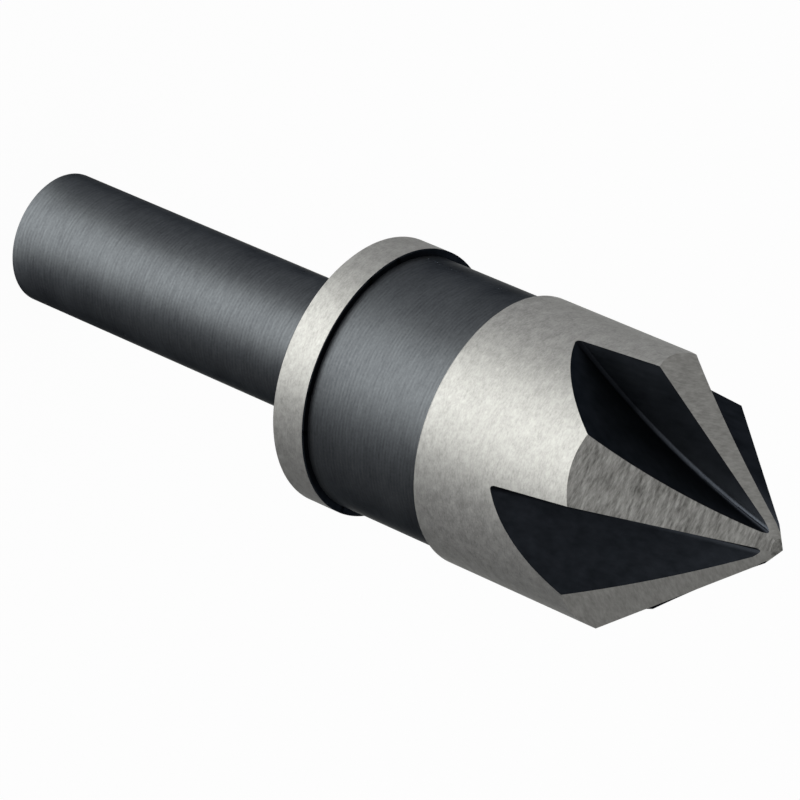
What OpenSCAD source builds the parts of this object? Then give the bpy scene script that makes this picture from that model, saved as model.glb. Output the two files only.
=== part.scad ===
// Countersink bit with five flutes and an 82 degree point, on a plain round shank.
// It is one bar of hardened steel: turned, then fluted, then ground on its flat
// lands, its head and its collar. It stands on its shank end, tip up along +Z.

/* [Shank] */
// Diameter of the shank
shank_d = 6.35; // [4:0.05:9]
// Length of the shank, from its end face to the collar
shank_len = 19.4; // [12:0.05:60]
// Radius of the rounded edge round the shank's end face
shank_end_round = 0.15; // [0.1:0.05:1]

/* [Collar] */
// Diameter of the ground stop collar
collar_d = 12.75; // [10:0.05:20]
// Length of the collar, with both of its chamfers
collar_len = 1.8; // [1.2:0.1:6]
// Size of the chamfer on each edge of the collar
collar_chamfer = 0.05; // [0.05:0.05:0.4]

/* [Neck] */
// Diameter of the neck between the collar and the head
neck_d = 12.08; // [9:0.02:12.3]
// Length of the neck
neck_len = 6.4; // [3:0.05:20]

/* [Head] */
// Cutting diameter of the head
head_d = 12.7; // [12.5:0.1:20]
// Length of the head's ground cylinder, up to the corners of the cutting edges
head_len = 8.4; // [6:0.1:20]
// Radius of the rounded edge at the back of the head
head_back_round = 0.15; // [0.05:0.05:0.25]

/* [Point] */
// Included angle that the cutting edges cut
cone_angle = 82; // [60:1:100]
// Angle behind its cutting edge at which each flat land lies deepest
land_lag = 20; // [14:1:24]
// How much shorter the blunted tip is than the sharp point
tip_blunt = 0.25; // [0.1:0.05:0.6]
// How much wider the blunted tip's included angle is than that of the cutting edges
tip_widening = 14; // [14:2:40]

/* [Flutes] */
// Number of flutes
flute_count = 5; // [3:1:6]
// Diameter of the wheel that ground the flutes
wheel_d = 75; // [50:5:120]
// Radius of the wheel's corner, which rounds the root of each flute
wheel_corner = 0.2; // [0.1:0.05:1]
// Distance of the flute's root from the axis, at the foot of the cone
root_depth = 3.45; // [2.5:0.05:4.5]
// Angle of the flute's root to the axis, at the foot of the cone
root_slope = 29; // [24:1:34]
// Angle that the rake face leans to the axis
rake_lean = 6.7; // [0:0.1:12]
// How far in front of the axis the rake face passes the tip
rake_ahead = 0.1; // [0:0.02:0.4]

/* [Finish] */
// Facets round the turned surfaces
turned_facets = 96; // [48:8:160]
// Facets round the flute wheel
wheel_facets = 240; // [120:20:360]

/* [Hidden] */

shank_r = shank_d / 2;
collar_r = collar_d / 2;
neck_r = neck_d / 2;
head_r = head_d / 2;
wheel_r = wheel_d / 2;
half_cone = cone_angle / 2;

// Heights of the shoulders, from the shank's end face
collar_z = shank_len;
neck_z = collar_z + collar_len;
head_z = neck_z + neck_len;
foot_z = head_z + head_len;
apex_z = foot_z + head_r / tan(half_cone);
tip_z = apex_z - tip_blunt;

// The blank's own blunt cone reaches out to the head's diameter
half_tip = half_cone + tip_widening / 2;
blunt_len = head_r / tan(half_tip);

// Angle in front of the rake face's own direction at which the cutting corner lies
rake_drop = (apex_z - foot_z) * tan(rake_lean);
corner_turn = asin((rake_ahead + rake_drop) / head_r);

// Angle between a flat land and the axis, taken where the land lies deepest
land_angle = atan(tan(half_cone) * cos(land_lag));

// Block that cuts one land: its underside lies on the land and reaches past the head
pitch = 360 / flute_count;
clear = 2;
block_wide = 2 * (head_r + clear);
block_long = block_wide / sin(land_angle);
block_high = apex_z - head_z;

// Flute wheel, wide enough to run out past the heel of the land in front
wheel_width = head_r * 1.3;

// The exact cut is only reliable with a wheel stretched along its own axis, so it is
// stretched by far less than any size here could show
wheel_stretch = 1.001;

// Root line, measured along the leaning rake face from the point beside the tip
foot_along = (apex_z - foot_z) / cos(rake_lean);
wheel_out = root_depth + wheel_r * cos(root_slope);
wheel_along = wheel_r * sin(root_slope) - foot_along;

// Turned blank: shank, collar, neck and head, with a blunt end
module turned_blank() {
    rotate_extrude($fn = turned_facets) {
        shank_outline();
        collar_outline();
        neck_outline();
        head_outline();
    }
}

// The shank runs a little into the collar so that the two are one
module shank_outline() {
    overlap = collar_len / 2;
    translate([0, shank_end_round])
        square([shank_r, shank_len - shank_end_round + overlap]);
    square([shank_r - shank_end_round, shank_end_round]);
    translate([shank_r - shank_end_round, shank_end_round])
        circle(r = shank_end_round, $fn = turned_facets);
}

module collar_outline() {
    top = collar_z + collar_len;
    polygon([
        [0, collar_z],
        [collar_r - collar_chamfer, collar_z],
        [collar_r, collar_z + collar_chamfer],
        [collar_r, top - collar_chamfer],
        [collar_r - collar_chamfer, top],
        [0, top]
    ]);
}

module neck_outline() {
    overlap = collar_len / 2;
    translate([0, neck_z - overlap])
        square([neck_r, neck_len + 2 * overlap]);
}

module head_outline() {
    back = head_z + head_back_round;
    polygon([
        [0, back],
        [head_r, back],
        [head_r, tip_z - blunt_len],
        [0, tip_z]
    ]);
    translate([0, head_z])
        square([head_r - head_back_round, head_back_round]);
    translate([head_r - head_back_round, back])
        circle(r = head_back_round, $fn = turned_facets);
}

// Everything above one flat land, whose plane passes through the sharp point. The
// planes meet each other inside the flutes, so no land cuts into its neighbour
module land_cutter() {
    translate([0, 0, apex_z])
        rotate([0, 90 - land_angle, 0])
            translate([-clear, -block_wide / 2, 0])
                cube([block_long, block_wide, block_high]);
}

// Grinding wheel with a rounded corner: its flat side lies on the XY plane
module flute_wheel() {
    rotate_extrude($fn = wheel_facets) {
        square([wheel_r - wheel_corner, wheel_width]);
        translate([0, wheel_corner])
            square([wheel_r, wheel_width - wheel_corner]);
        translate([wheel_r - wheel_corner, wheel_corner])
            circle(r = wheel_corner, $fn = turned_facets);
    }
}

// The wheel's flat side makes the rake face and its rim makes the flute's floor
module flute() {
    translate([0, rake_ahead, apex_z])
        rotate([rake_lean - 90, 0, 0])
            translate([wheel_out, -wheel_along, 0])
                scale([1, 1, wheel_stretch])
                    flute_wheel();
}

module countersink_bit() {
    color("dimgray")
    difference() {
        turned_blank();
        for (i = [0 : flute_count - 1])
            rotate(i * pitch + corner_turn - land_lag)
                land_cutter();
        for (i = [0 : flute_count - 1])
            rotate(i * pitch)
                flute();
    }
}

countersink_bit();
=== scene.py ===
import math

import bmesh
import bpy
from mathutils import Matrix, Quaternion, Vector


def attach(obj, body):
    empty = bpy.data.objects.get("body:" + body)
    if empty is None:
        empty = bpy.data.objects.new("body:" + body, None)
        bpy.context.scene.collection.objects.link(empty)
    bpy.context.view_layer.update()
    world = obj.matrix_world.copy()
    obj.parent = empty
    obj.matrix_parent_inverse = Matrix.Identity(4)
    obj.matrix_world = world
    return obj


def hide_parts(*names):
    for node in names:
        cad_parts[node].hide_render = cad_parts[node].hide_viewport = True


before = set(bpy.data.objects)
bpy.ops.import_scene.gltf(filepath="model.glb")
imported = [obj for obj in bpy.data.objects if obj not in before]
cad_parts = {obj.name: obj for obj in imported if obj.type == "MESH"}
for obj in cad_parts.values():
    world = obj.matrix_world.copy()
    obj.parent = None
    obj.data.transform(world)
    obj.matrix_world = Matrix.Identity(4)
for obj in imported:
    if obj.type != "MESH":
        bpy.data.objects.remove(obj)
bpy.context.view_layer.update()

# The countersink bit stands on its shank end, tip up along +Z. Sizes are in
# millimetres, as in the part's own source, and a mesh is made in metres.
MM = 0.001

shank_r, shank_len, shank_end_round = 3.175, 19.4, 0.15
collar_r, collar_len, collar_chamfer = 6.375, 1.8, 0.05
neck_r, neck_len = 6.04, 6.4
head_r, head_len, head_back_round = 6.35, 8.4, 0.15
cone_angle, land_lag, tip_blunt, tip_widening = 82, 20, 0.25, 14
flute_count, wheel_r, wheel_corner = 5, 37.5, 0.2
root_depth, root_slope, rake_lean, rake_ahead = 3.45, 29, 6.7, 0.1

collar_z = shank_len
neck_z = collar_z + collar_len
head_z = neck_z + neck_len
foot_z = head_z + head_len
half_cone = math.radians(cone_angle / 2)
apex_z = foot_z + head_r / math.tan(half_cone)
tip_z = apex_z - tip_blunt
half_tip = half_cone + math.radians(tip_widening / 2)
blunt_z = tip_z - head_r / math.tan(half_tip)
lean = math.radians(rake_lean)
slope = math.radians(root_slope)
lag = math.radians(land_lag)
corner_turn = math.asin((rake_ahead + (apex_z - foot_z) * math.tan(lean)) / head_r)
land_angle = math.atan(math.tan(half_cone) * math.cos(lag))
pitch = math.tau / flute_count

# Wide enough to run out past the heel of the land in front
wheel_width = head_r * 1.3

# Round the tip, this much of the blunt cone has a finish of its own
tip_patch_r = 0.4
tip_patch_z = tip_z - tip_patch_r / math.tan(half_tip)

# How finely round shapes are made: the steps of a full turn, the longest edge of the
# bar's outline, and the steps of each small rounded edge
bar_steps, wheel_steps, table_steps = 224, 720, 96
longest_edge = 0.55
shank_end_steps, head_back_steps, root_steps = 5, 6, 10

# Surfaces meet in a sharp edge from these angles on, within one finish and between two
sharp_within, sharp_between = 22, 7

# Less than any size here, and more than the rounding of a height
HAIR = 0.001

# Distances in metres within which points are merged, or lie on a cut or on the axis
SAME_POINT, ON_CUT, ON_AXIS = 1e-7, 1e-8, 1e-9

# On the flat coordinates of the lands, one land lies this far from the next, and the
# land that faces the front has this number
land_spacing = 20
front_land = -1

# Finishes of the one bar, in the order of its material slots
OXIDE, GROUND, LAND, FLUTE, TIP = range(5)


# Shapes

def polygon(bm, points):
    """Makes a flat face in the XZ plane from (radius, height) corners in millimetres, and
    gives back its corner points."""
    corners = [bm.verts.new((r * MM, 0, z * MM)) for r, z in points]
    bm.faces.new(corners)
    return corners


def round_corners(bm, corners, radius, steps):
    """Cuts or rounds square corners of a flat face."""
    bmesh.ops.bevel(
        bm, geom=corners, offset=radius * MM, offset_type="OFFSET",
        segments=steps, profile=0.5, affect="VERTICES", material=-1,
    )


def outline_only(bm):
    """Drops the flat face and the edges on the axis, so that the outline can spin."""
    bmesh.ops.delete(bm, geom=bm.faces[:], context="FACES_ONLY")
    on_axis = [e for e in bm.edges if max(abs(v.co.x) for v in e.verts) < ON_AXIS]
    bmesh.ops.delete(bm, geom=on_axis, context="EDGES")


def divide_long_edges(bm, longest):
    """Cuts each long edge of the outline into even lengths, for clean shading."""
    for edge in list(bm.edges):
        cuts = int(edge.calc_length() / (longest * MM))
        if cuts:
            bmesh.ops.subdivide_edges(bm, edges=[edge], cuts=cuts)


def spin_round(bm, steps):
    """A full turn of the outline about Z, closed at its seam and at its poles."""
    bmesh.ops.spin(
        bm, geom=bm.verts[:] + bm.edges[:], cent=(0, 0, 0), axis=(0, 0, 1),
        angle=math.tau, steps=steps, use_merge=True,
    )
    bmesh.ops.remove_doubles(bm, verts=bm.verts, dist=SAME_POINT)
    bmesh.ops.recalc_face_normals(bm, faces=bm.faces)


def turned_blank():
    """Shank, collar, neck and head, turned from one bar, with a blunt cone on top."""
    bm = bmesh.new()
    corners = polygon(bm, [
        (0, 0), (shank_r, 0), (shank_r, collar_z),
        (collar_r, collar_z), (collar_r, neck_z),
        (neck_r, neck_z), (neck_r, head_z),
        (head_r, head_z), (head_r, blunt_z), (tip_patch_r, tip_patch_z), (0, tip_z),
    ])
    shank_end, collar_edges, head_back = corners[1], corners[3:5], corners[7]
    round_corners(bm, [shank_end], shank_end_round, shank_end_steps)
    round_corners(bm, collar_edges, collar_chamfer, 1)
    round_corners(bm, [head_back], head_back_round, head_back_steps)
    outline_only(bm)
    divide_long_edges(bm, longest_edge)
    spin_round(bm, bar_steps)
    for face in bm.faces:
        face.material_index = turned_finish(face)
    return bm


def turned_finish(face):
    """Which finish a turned face has. The collar's rim and the head are ground bright, and
    the two shoulders that face the neck take the flutes' near-black, as painted shade in
    the recess of the neck."""
    middle = face.calc_center_median()
    radius, height = middle.xy.length / MM, middle.z / MM
    upright = abs(face.normal.z) < 0.3
    if upright and radius > (neck_r + collar_r) / 2 and height < neck_z:
        return GROUND
    if height > blunt_z:
        return TIP if radius < tip_patch_r else LAND
    if height > head_z + HAIR:
        return GROUND
    # Painted shade: the black oxide shoulders beside the neck take the flutes' darker
    # colour
    if radius > neck_r and height > neck_z - collar_chamfer:
        return FLUTE
    return OXIDE


def grind_lands(bm):
    """Cuts the five flat relieved lands, whose planes meet in the sharp point."""
    for i in range(flute_count):
        turn = i * pitch + corner_turn - lag
        out, up = math.cos(land_angle), math.sin(land_angle)
        facing = Vector((out * math.cos(turn), out * math.sin(turn), up))
        cut = bmesh.ops.bisect_plane(
            bm, geom=bm.verts[:] + bm.edges[:] + bm.faces[:], dist=ON_CUT,
            plane_co=(0, 0, apex_z * MM), plane_no=facing, clear_outer=True,
        )
        rim = [g for g in cut["geom_cut"] if isinstance(g, bmesh.types.BMEdge)]
        for face in bmesh.ops.edgeloop_fill(bm, edges=rim)["faces"]:
            face.material_index = LAND
    bmesh.ops.recalc_face_normals(bm, faces=bm.faces)


def wheel_place(turn):
    """Where a flute's wheel stands: its flat side leans to the axis and passes the tip."""
    foot_along = (apex_z - foot_z) / math.cos(lean)
    out = root_depth + wheel_r * math.cos(slope)
    along = wheel_r * math.sin(slope) - foot_along
    return (
        Matrix.Rotation(turn, 4, "Z")
        @ Matrix.Translation((0, rake_ahead * MM, apex_z * MM))
        @ Matrix.Rotation(lean - math.pi / 2, 4, "X")
        @ Matrix.Translation((out * MM, -along * MM, 0))
    )


def flute_wheel(turn):
    """The wheel that ground one flute: its flat side leaves the rake face, its rim the
    floor, and its rounded corner the root."""
    bm = bmesh.new()
    corners = polygon(bm, [(0, 0), (wheel_r, 0), (wheel_r, wheel_width), (0, wheel_width)])
    round_corners(bm, [corners[1]], wheel_corner, root_steps)
    outline_only(bm)
    spin_round(bm, wheel_steps)
    bmesh.ops.transform(bm, matrix=wheel_place(turn), verts=bm.verts)
    return bm


def to_object(name, bm, materials):
    """The finished mesh as an object at the origin, with its materials in their slots."""
    mesh = bpy.data.meshes.new(name)
    bm.to_mesh(mesh)
    bm.free()
    for material in materials:
        mesh.materials.append(material)
    made = bpy.data.objects.new(name, mesh)
    bpy.context.scene.collection.objects.link(made)
    return made


def grind_flutes(bar, flute_finish):
    """Takes the five wheels out of the bar and keeps the result as its mesh."""
    wheels = []
    for i in range(flute_count):
        wheel = to_object(f"wheel_{i}", flute_wheel(i * pitch), [flute_finish])
        cut = bar.modifiers.new(f"flute_{i}", "BOOLEAN")
        cut.operation, cut.solver, cut.object = "DIFFERENCE", "EXACT", wheel
        cut.material_mode = "TRANSFER"
        wheels.append(wheel)
    bpy.context.view_layer.update()
    evaluated = bar.evaluated_get(bpy.context.evaluated_depsgraph_get())
    cut_mesh = bpy.data.meshes.new_from_object(evaluated)
    bar.modifiers.clear()
    bar.data = cut_mesh
    for wheel in wheels:
        bpy.data.objects.remove(wheel)


def shade(mesh):
    """Smooth turned and ground surfaces, with crisp edges where finishes meet."""
    bm = bmesh.new()
    bm.from_mesh(mesh)
    bmesh.ops.remove_doubles(bm, verts=bm.verts, dist=2 * SAME_POINT)
    bmesh.ops.dissolve_degenerate(bm, edges=bm.edges, dist=SAME_POINT)
    for face in bm.faces:
        face.smooth = True
    for edge in bm.edges:
        faces = edge.link_faces
        same = len(faces) == 2 and faces[0].material_index == faces[1].material_index
        limit = math.radians(sharp_within if same else sharp_between)
        edge.smooth = edge.calc_face_angle(0) < limit
    bm.to_mesh(mesh)
    bm.free()


def lay_out_ground_faces(mesh):
    """Gives lands and flutes flat coordinates in millimetres, so that the wheel's marks
    lie alike on all five: a land's run across it and down from the tip, and a flute's
    across its root and up the bar."""
    ground = mesh.uv_layers.new(name="ground")
    wheels = [wheel_place(i * pitch).inverted() for i in range(flute_count)]
    for face in mesh.polygons:
        if face.material_index == LAND:
            place = on_land(face.center)
        elif face.material_index == FLUTE:
            place = in_flute(face.center, wheels)
        else:
            continue
        for loop in face.loop_indices:
            corner = mesh.vertices[mesh.loops[loop].vertex_index].co
            ground.uv[loop].vector = place(corner)


def on_land(middle):
    """Coordinates on the flat land that this point lies on."""
    first = corner_turn - lag
    number = round((math.atan2(middle.y, middle.x) - first) / pitch)
    back = Quaternion((0, 0, 1), -(first + number * pitch))

    def place(point):
        turned = back @ point / MM
        return turned.y + number * land_spacing, math.hypot(turned.x, apex_z - turned.z)
    return place


def in_flute(middle, wheels):
    """Coordinates in the flute that this point lies in: how far the point is across the
    root, negative on the rake face, and its height."""
    def off_wheel(wheel):
        local = wheel @ middle / MM
        return min(abs(local.z), abs(local.xy.length - wheel_r))
    wheel = min(wheels, key=off_wheel)
    on_rake = (wheel @ middle).z < HAIR * MM

    def place(point):
        local = wheel @ point / MM
        across = local.xy.length - wheel_r if on_rake else local.z
        return across, point.z / MM
    return place


# Finishes

def nodes_of(owner):
    """The nodes and links of a material or world."""
    owner.use_nodes = True
    return owner.node_tree.nodes, owner.node_tree.links


class Finish:
    """A metal finish: a Principled shader whose patterns are read from Object coordinates
    or from the flat coordinates of lands and flutes."""

    def __init__(self, name, colour, roughness, anisotropic=0.0):
        self.material = bpy.data.materials.new(name)
        self.nodes, self.links = nodes_of(self.material)
        self.shader = self.nodes["Principled BSDF"]
        self.shader.inputs["Base Color"].default_value = (*colour, 1)
        self.shader.inputs["Metallic"].default_value = 1.0
        self.shader.inputs["Roughness"].default_value = roughness
        self.shader.inputs["Anisotropic"].default_value = anisotropic
        self.place = self.nodes.new("ShaderNodeTexCoord").outputs["Object"]
        if anisotropic:
            tangent = self.nodes.new("ShaderNodeTangent")
            tangent.direction_type, tangent.axis = "RADIAL", "Z"
            self.shader.inputs["Anisotropic Rotation"].default_value = 0.25
            self.links.new(tangent.outputs[0], self.shader.inputs["Tangent"])

    def ground_place(self):
        """Flat coordinates of a land or a flute, in millimetres."""
        place = self.nodes.new("ShaderNodeUVMap")
        place.uv_map = "ground"
        return place.outputs[0]

    def ground_sides(self):
        """The two flat coordinates apart: across, and down the land or up the flute."""
        sides = self.nodes.new("ShaderNodeSeparateXYZ")
        self.links.new(self.ground_place(), sides.inputs[0])
        return sides.outputs["X"], sides.outputs["Y"]

    def noise(self, mapping, detail, roughness):
        """Noise on coordinates that a Mapping node has scaled."""
        noise = self.nodes.new("ShaderNodeTexNoise")
        noise.inputs["Scale"].default_value = 1.0
        noise.inputs["Detail"].default_value = detail
        noise.inputs["Roughness"].default_value = roughness
        self.links.new(mapping.outputs[0], noise.inputs["Vector"])
        return noise

    def scratches(self, per_mm, turn, detail=3.0, roughness=0.6, seed=0.0):
        """Noise on a flat land, drawn out at an angle to the line across the land."""
        turned = self.nodes.new("ShaderNodeVectorRotate")
        turned.rotation_type = "Z_AXIS"
        turned.inputs["Angle"].default_value = math.radians(turn)
        mapping = self.nodes.new("ShaderNodeMapping")
        mapping.inputs["Scale"].default_value = (*per_mm, 1)
        mapping.inputs["Location"].default_value = (seed, seed * 1.7, 0)
        self.links.new(self.ground_place(), turned.inputs["Vector"])
        self.links.new(turned.outputs[0], mapping.inputs["Vector"])
        noise = self.noise(mapping, detail, roughness)
        noise.noise_dimensions = "2D"
        return noise.outputs["Fac"]

    def grain(self, per_mm, detail=2.0, roughness=0.5, seed=0.0):
        """Noise with its own frequency along x, y and z, in waves per millimetre."""
        mapping = self.nodes.new("ShaderNodeMapping")
        mapping.inputs["Scale"].default_value = [f / MM for f in per_mm]
        mapping.inputs["Location"].default_value = (seed, seed * 1.7, seed * 2.3)
        self.links.new(self.place, mapping.inputs["Vector"])
        return self.noise(mapping, detail, roughness).outputs["Fac"]

    def rings(self, period_mm, wander):
        """Even turning lines round the bar, at a set distance, that wander a little."""
        wave = self.nodes.new("ShaderNodeTexWave")
        wave.wave_type, wave.bands_direction = "BANDS", "Z"
        period_at_scale_1 = math.tau / 20
        wave.inputs["Scale"].default_value = period_at_scale_1 / (period_mm * MM)
        wave.inputs["Distortion"].default_value = wander
        wave.inputs["Detail"].default_value = 2
        wave.inputs["Detail Scale"].default_value = 0.35
        self.links.new(self.place, wave.inputs["Vector"])
        return wave.outputs["Fac"]

    def span(self, value, low, high, to_low, to_high, smooth=False):
        """Maps a pattern's values from one range to another."""
        node = self.nodes.new("ShaderNodeMapRange")
        node.interpolation_type = "SMOOTHSTEP" if smooth else "LINEAR"
        for i, number in enumerate((low, high, to_low, to_high), start=1):
            node.inputs[i].default_value = number
        self.links.new(value, node.inputs[0])
        return node.outputs[0]

    def band(self, value, rise, fall):
        """1 between two soft edges, each given by where it starts and where it ends."""
        rising = self.span(value, *rise, 0, 1, smooth=True)
        falling = self.span(value, *fall, 1, 0, smooth=True)
        return self.times(rising, falling)

    def reckon(self, operation, a, b):
        """One sum on two patterns, or on a pattern and a number."""
        node = self.nodes.new("ShaderNodeMath")
        node.operation = operation
        for socket, value in zip(node.inputs, (a, b)):
            if isinstance(value, (int, float)):
                socket.default_value = value
            else:
                self.links.new(value, socket)
        return node.outputs[0]

    def plus(self, a, b):
        return self.reckon("ADD", a, b)

    def times(self, a, b):
        return self.reckon("MULTIPLY", a, b)

    def mixed(self, a, b, share):
        """Two patterns in one: this share of the first, and the rest of the second."""
        return self.plus(self.times(a, share), self.times(b, 1 - share))

    def colours(self, value, dark_at, dark, light_at, light):
        """A colour ramp between two colours, each at its own value of the pattern."""
        ramp = self.nodes.new("ShaderNodeValToRGB")
        stops = ((dark_at, dark), (light_at, light))
        for element, (at, colour) in zip(ramp.color_ramp.elements, stops):
            element.position = at
            element.color = (*colour, 1)
        self.links.new(value, ramp.inputs["Fac"])
        return ramp.outputs["Color"]

    def blend(self, how_much, under, over):
        """Lays a plain colour over a pattern's colours."""
        mix = self.nodes.new("ShaderNodeMix")
        mix.data_type = "RGBA"
        mix.inputs["B"].default_value = (*over, 1)
        self.links.new(how_much, mix.inputs["Factor"])
        self.links.new(under, mix.inputs["A"])
        return mix.outputs["Result"]

    def dull_edges(self, level):
        """Keeps the metal from turning white where it is seen edge on."""
        self.shader.inputs["Specular Tint"].default_value = (level, level, level, 1)

    def paint(self, colour):
        self.links.new(colour, self.shader.inputs["Base Color"])

    def roughen(self, value):
        self.links.new(value, self.shader.inputs["Roughness"])

    def relief(self, height, depth_mm, strength):
        """Fine marks that stand this deep, from a pattern's values."""
        bump = self.nodes.new("ShaderNodeBump")
        bump.inputs["Distance"].default_value = depth_mm * MM
        bump.inputs["Strength"].default_value = strength
        self.links.new(height, bump.inputs["Height"])
        self.links.new(bump.outputs[0], self.shader.inputs["Normal"])


def black_oxide():
    """Turned and blacked steel: fine lines round the bar under a satin blue-black skin."""
    skin = Finish("black_oxide", (0.088, 0.095, 0.105), 0.43, anisotropic=0.35)
    skin.dull_edges(0.25)
    lines = skin.rings(period_mm=0.18, wander=3)
    streaks = skin.grain((1.2, 1.2, 8), detail=4, roughness=0.62)
    speckle = skin.grain((8, 8, 10), detail=2, seed=9)
    broad = skin.grain((0.3, 0.3, 0.5), detail=3, seed=3)
    fine = skin.mixed(skin.mixed(streaks, speckle, 0.6), lines, 0.91)
    dark, light = (0.066, 0.071, 0.079), (0.112, 0.121, 0.132)
    skin.paint(skin.colours(skin.mixed(fine, broad, 0.72), 0.36, dark, 0.64, light))
    skin.roughen(skin.span(broad, 0.3, 0.7, 0.40, 0.46))
    skin.relief(fine, 0.006, 0.7)
    return skin.material


def ground_steel():
    """Cylindrically ground steel: short fine marks round the bar, faintly mottled."""
    steel = Finish("ground_steel", (0.385, 0.384, 0.376), 0.56, anisotropic=0.15)
    steel.dull_edges(0.35)
    marks = steel.grain((3.2, 3.2, 11), detail=3, roughness=0.7)
    mottle = steel.grain((1.9, 1.9, 2.6), detail=5, roughness=0.72, seed=5)
    speckle = steel.grain((9, 9, 14), detail=2, seed=8)
    uneven = steel.mixed(steel.mixed(marks, speckle, 0.55), mottle, 0.5)
    dark, light = (0.29, 0.289, 0.282), (0.48, 0.479, 0.470)
    steel.paint(steel.colours(uneven, 0.36, dark, 0.64, light))
    steel.roughen(steel.span(mottle, 0.3, 0.7, 0.52, 0.60))
    steel.relief(uneven, 0.009, 0.7)
    return steel.material


def ground_land():
    """Flat lands off a coarse wheel: scratches run across each land. They show most on
    the land that faces the front, as painted highlight and shade where the front light
    catches them."""
    steel = Finish("ground_land", (0.29, 0.287, 0.276), 0.42)
    steel.dull_edges(0.35)
    coarse = steel.scratches((1.0, 4.6), 6, detail=4, roughness=0.72)
    crossed = steel.scratches((1.8, 8), -8, seed=6)
    cloud = steel.scratches((1.1, 1.6), 0, seed=2)
    rough = steel.mixed(coarse, crossed, 0.6)
    uneven = steel.plus(steel.mixed(rough, cloud, 0.8), -0.5)
    across, _ = steel.ground_sides()

    # Painted highlight and shade: the land in front keeps its full scratch contrast, and
    # the others a part of it
    off_front = steel.plus(across, -front_land * land_spacing)
    on_front, on_next = head_r ** 2, land_spacing ** 2
    contrast = steel.span(steel.times(off_front, off_front), on_front, on_next, 1, 0.4)
    uneven = steel.plus(steel.times(uneven, contrast), 0.5)

    dark, light = (0.13, 0.128, 0.120), (0.44, 0.437, 0.42)
    steel.paint(steel.colours(uneven, 0.36, dark, 0.66, light))
    steel.roughen(steel.span(coarse, 0.3, 0.7, 0.36, 0.5))
    steel.relief(rough, 0.02, 0.8)
    return steel.material


def flute_black():
    """Blacked flutes, nearly black with faint marks of the wheel; their colour is darker
    than the oxide skin as painted shade of the hollows. A painted highlight makes the rake
    face paler beside the root, most near the tip, and painted shade makes the root's floor
    side darkest low down. Distances across the root are negative on the rake face."""
    # Painted shade: the flutes' colour is darker than the oxide skin, for the shade in the
    # hollows
    skin = Finish("flute_black", (0.014, 0.016, 0.020), 0.42)
    skin.dull_edges(0.2)
    along = skin.grain((4, 4, 0.8), detail=3)
    cloud = skin.grain((1.2, 1.2, 1.2), detail=4, seed=4)
    dark, light = (0.010, 0.012, 0.015), (0.020, 0.023, 0.029)
    black = skin.colours(skin.mixed(along, cloud, 0.5), 0.3, dark, 0.7, light)
    across, height = skin.ground_sides()

    # Painted shade: the root's floor side is darkened low down
    floor_side = skin.band(across, rise=(-0.05, 0.03), fall=(0.12, 0.3))
    low_down = skin.span(height, foot_z - 1, foot_z + 3, 0.75, 0)
    black = skin.blend(skin.times(floor_side, low_down), black, (0.003, 0.0035, 0.0045))

    # Painted highlight: a paler stripe on the rake face beside the root, brightest near
    # the tip
    beside_root = skin.band(across, rise=(-1.2, 0.08), fall=(0.04, 0.3))
    near_tip = skin.span(height, foot_z - 1, tip_z - 0.5, 0, 1)
    patchy = skin.span(cloud, 0.3, 0.7, 0.75, 1.15)
    painted_root_highlight = skin.times(skin.times(beside_root, near_tip), patchy)
    skin.paint(skin.blend(painted_root_highlight, black, (0.080, 0.090, 0.108)))
    skin.relief(along, 0.004, 0.4)
    return skin.material


def tip_steel():
    """The blunted tip: ground like the lands, but finer and duller."""
    steel = Finish("tip_steel", (0.20, 0.198, 0.187), 0.5)
    steel.dull_edges(0.3)
    grain = steel.grain((6, 6, 12), detail=2)
    dark, light = (0.12, 0.119, 0.111), (0.27, 0.268, 0.253)
    steel.paint(steel.colours(grain, 0.3, dark, 0.7, light))
    steel.relief(grain, 0.006, 0.6)
    return steel.material


# The piece

finishes = [black_oxide(), ground_steel(), ground_land(), flute_black(), tip_steel()]

blank = turned_blank()
grind_lands(blank)
bit = to_object("bit", blank, finishes)
grind_flutes(bit, finishes[FLUTE])
shade(bit.data)
lay_out_ground_faces(bit.data)
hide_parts("countersink_bit")
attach(bit, "root")


# Studio

# Half the floor's width in metres, and the share of plain white that the eye and the
# metal see in it
floor_reach = 8
floor_whiteness = 0.96

# Radius of the table top and its height just above the floor, in millimetres
table_r, table_z = 1400, 0.05

# Light of the table top by the direction round the bit, in degrees. The key lies in
# front, with the dark side to the right and the paler side to the left, and a weaker
# one lies behind
table_levels = [
    (-180, 0.62), (-155, 0.62), (-141, 0.7), (-128, 1.2), (-112, 2.5), (-96, 3.3),
    (-80, 3.3), (-64, 2.65), (-50, 1.4), (-37, 0.65), (-20, 0.35), (0, 0.26), (40, 0.22),
    (58, 0.5), (75, 1.3), (92, 2.1), (108, 2.1), (124, 1.3), (142, 0.7), (180, 0.62),
]

# Strength of its light, which every level stays under
table_brightest = 4

# Its stretches above a level of 1 are a little warmer: they have this share of their blue
key_blue = 0.955


def empty_material(name):
    """A material with no nodes but its output, and the ways to add to it."""
    material = bpy.data.materials.new(name)
    nodes, links = nodes_of(material)
    nodes.clear()
    surface = nodes.new("ShaderNodeOutputMaterial").inputs["Surface"]
    return material, nodes, links, surface


def floor():
    bm = bmesh.new()
    bmesh.ops.create_grid(bm, x_segments=1, y_segments=1, size=floor_reach)
    to_object("floor", bm, [floor_white()])


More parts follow.
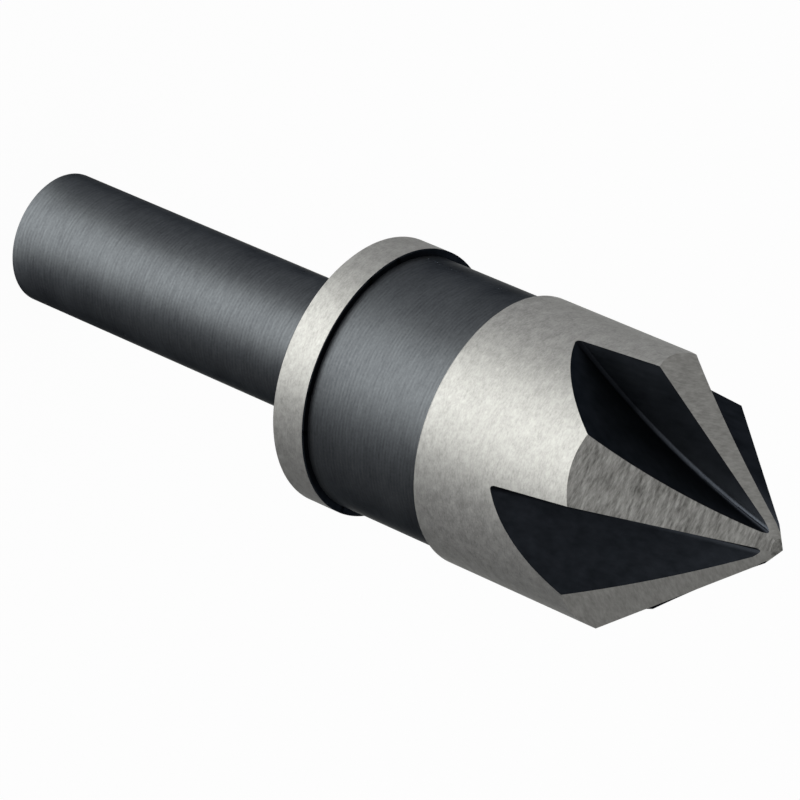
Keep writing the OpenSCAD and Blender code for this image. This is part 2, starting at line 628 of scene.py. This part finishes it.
def floor_white():
    """Pale floor that reads white to the eye and in the metal, and keeps the shadow."""
    material, nodes, links, surface = empty_material("floor_white")
    matt = nodes.new("ShaderNodeBsdfDiffuse")
    matt.inputs["Color"].default_value = (0.9, 0.9, 0.9, 1)
    glow = nodes.new("ShaderNodeEmission")
    glow.inputs["Strength"].default_value = 1.0
    path = nodes.new("ShaderNodeLightPath")
    seen = path.outputs["Is Camera Ray"]
    for other in ("Is Glossy Ray", "Is Transmission Ray"):
        either = nodes.new("ShaderNodeMath")
        either.operation = "MAXIMUM"
        links.new(seen, either.inputs[0])
        links.new(path.outputs[other], either.inputs[1])
        seen = either.outputs[0]
    share = nodes.new("ShaderNodeMath")
    share.operation = "MULTIPLY"
    share.inputs[1].default_value = floor_whiteness
    links.new(seen, share.inputs[0])
    mix = nodes.new("ShaderNodeMixShader")
    links.new(share.outputs[0], mix.inputs["Fac"])
    links.new(matt.outputs[0], mix.inputs[1])
    links.new(glow.outputs[0], mix.inputs[2])
    links.new(mix.outputs[0], surface)
    return material


def world_light(least, most, brightest_towards):
    """Plain light from all round, a little brighter towards one side. Where the camera
    looks past the floor, it sees plain white."""
    world = bpy.data.worlds.new("studio")
    bpy.context.scene.world = world
    nodes, links = nodes_of(world)
    background = nodes["Background"]
    background.inputs["Color"].default_value = (1, 1, 1, 1)
    place = nodes.new("ShaderNodeTexCoord")
    towards = nodes.new("ShaderNodeVectorMath")
    towards.operation = "DOT_PRODUCT"
    towards.inputs[1].default_value = brightest_towards
    level = nodes.new("ShaderNodeMapRange")
    for i, number in enumerate((-1, 1, least, most), start=1):
        level.inputs[i].default_value = number
    path = nodes.new("ShaderNodeLightPath")
    seen = nodes.new("ShaderNodeMix")
    seen.inputs["B"].default_value = 1.0
    links.new(place.outputs["Generated"], towards.inputs[0])
    links.new(towards.outputs["Value"], level.inputs[0])
    links.new(path.outputs["Is Camera Ray"], seen.inputs["Factor"])
    links.new(level.outputs[0], seen.inputs["A"])
    links.new(seen.outputs["Result"], background.inputs["Strength"])


def light_table():
    """A round table top under the bit, which only the metal sees: its light changes
    softly with the direction round the bit."""
    bm = bmesh.new()
    bmesh.ops.create_circle(bm, cap_ends=True, segments=table_steps, radius=table_r * MM)
    bmesh.ops.translate(bm, verts=bm.verts, vec=(0, 0, table_z * MM))
    made = to_object("light_table", bm, [table_glow()])
    made.visible_camera = made.visible_diffuse = made.visible_shadow = False


def table_glow():
    """The table top's light, from the levels above."""
    material, nodes, links, surface = empty_material("light_table")
    place = nodes.new("ShaderNodeTexCoord")
    round_the_bit = nodes.new("ShaderNodeTexGradient")
    round_the_bit.gradient_type = "RADIAL"
    ramp = nodes.new("ShaderNodeValToRGB")
    stops = ramp.color_ramp.elements
    while len(stops) < len(table_levels):
        stops.new(0.5)
    for stop, (degrees, level) in zip(stops, table_levels):
        stop.position = degrees / 360 + 0.5
        share = level / table_brightest
        stop.color = (share, share, share * (key_blue if level > 1 else 1), 1)
    glow = nodes.new("ShaderNodeEmission")
    glow.inputs["Strength"].default_value = table_brightest
    links.new(place.outputs["Object"], round_the_bit.inputs["Vector"])
    links.new(round_the_bit.outputs["Fac"], ramp.inputs["Fac"])
    links.new(ramp.outputs["Color"], glow.inputs["Color"])
    links.new(glow.outputs[0], surface)
    return material


floor()
world_light(least=0.53, most=0.74, brightest_towards=(-0.88, 0.47, 0.0))
light_table()


# Camera, at the photograph's own viewing angle. It was fitted to the outline of the bit,
# with its focal length in pixels of a square picture, and its place in millimetres

picture_width, focal_length = 800, 5467.35
camera_place = Vector((31.21, -199.68, 161.4))
camera_forward = Vector((-0.12448, 0.81314, -0.56860))
camera_roll = 113.515


def camera():
    lens = bpy.data.cameras.new("camera")
    lens.sensor_width = 36
    lens.lens = lens.sensor_width * focal_length / picture_width
    lens.clip_start, lens.clip_end = 0.01, 30
    made = bpy.data.objects.new("camera", lens)
    bpy.context.scene.collection.objects.link(made)
    made.location = camera_place * MM
    made.rotation_mode = "QUATERNION"
    roll = Quaternion((0, 0, 1), math.radians(camera_roll))
    made.rotation_quaternion = camera_forward.to_track_quat("-Z", "Y") @ roll
    bpy.context.scene.camera = made


camera()
bpy.context.scene.view_settings.view_transform = "Standard"
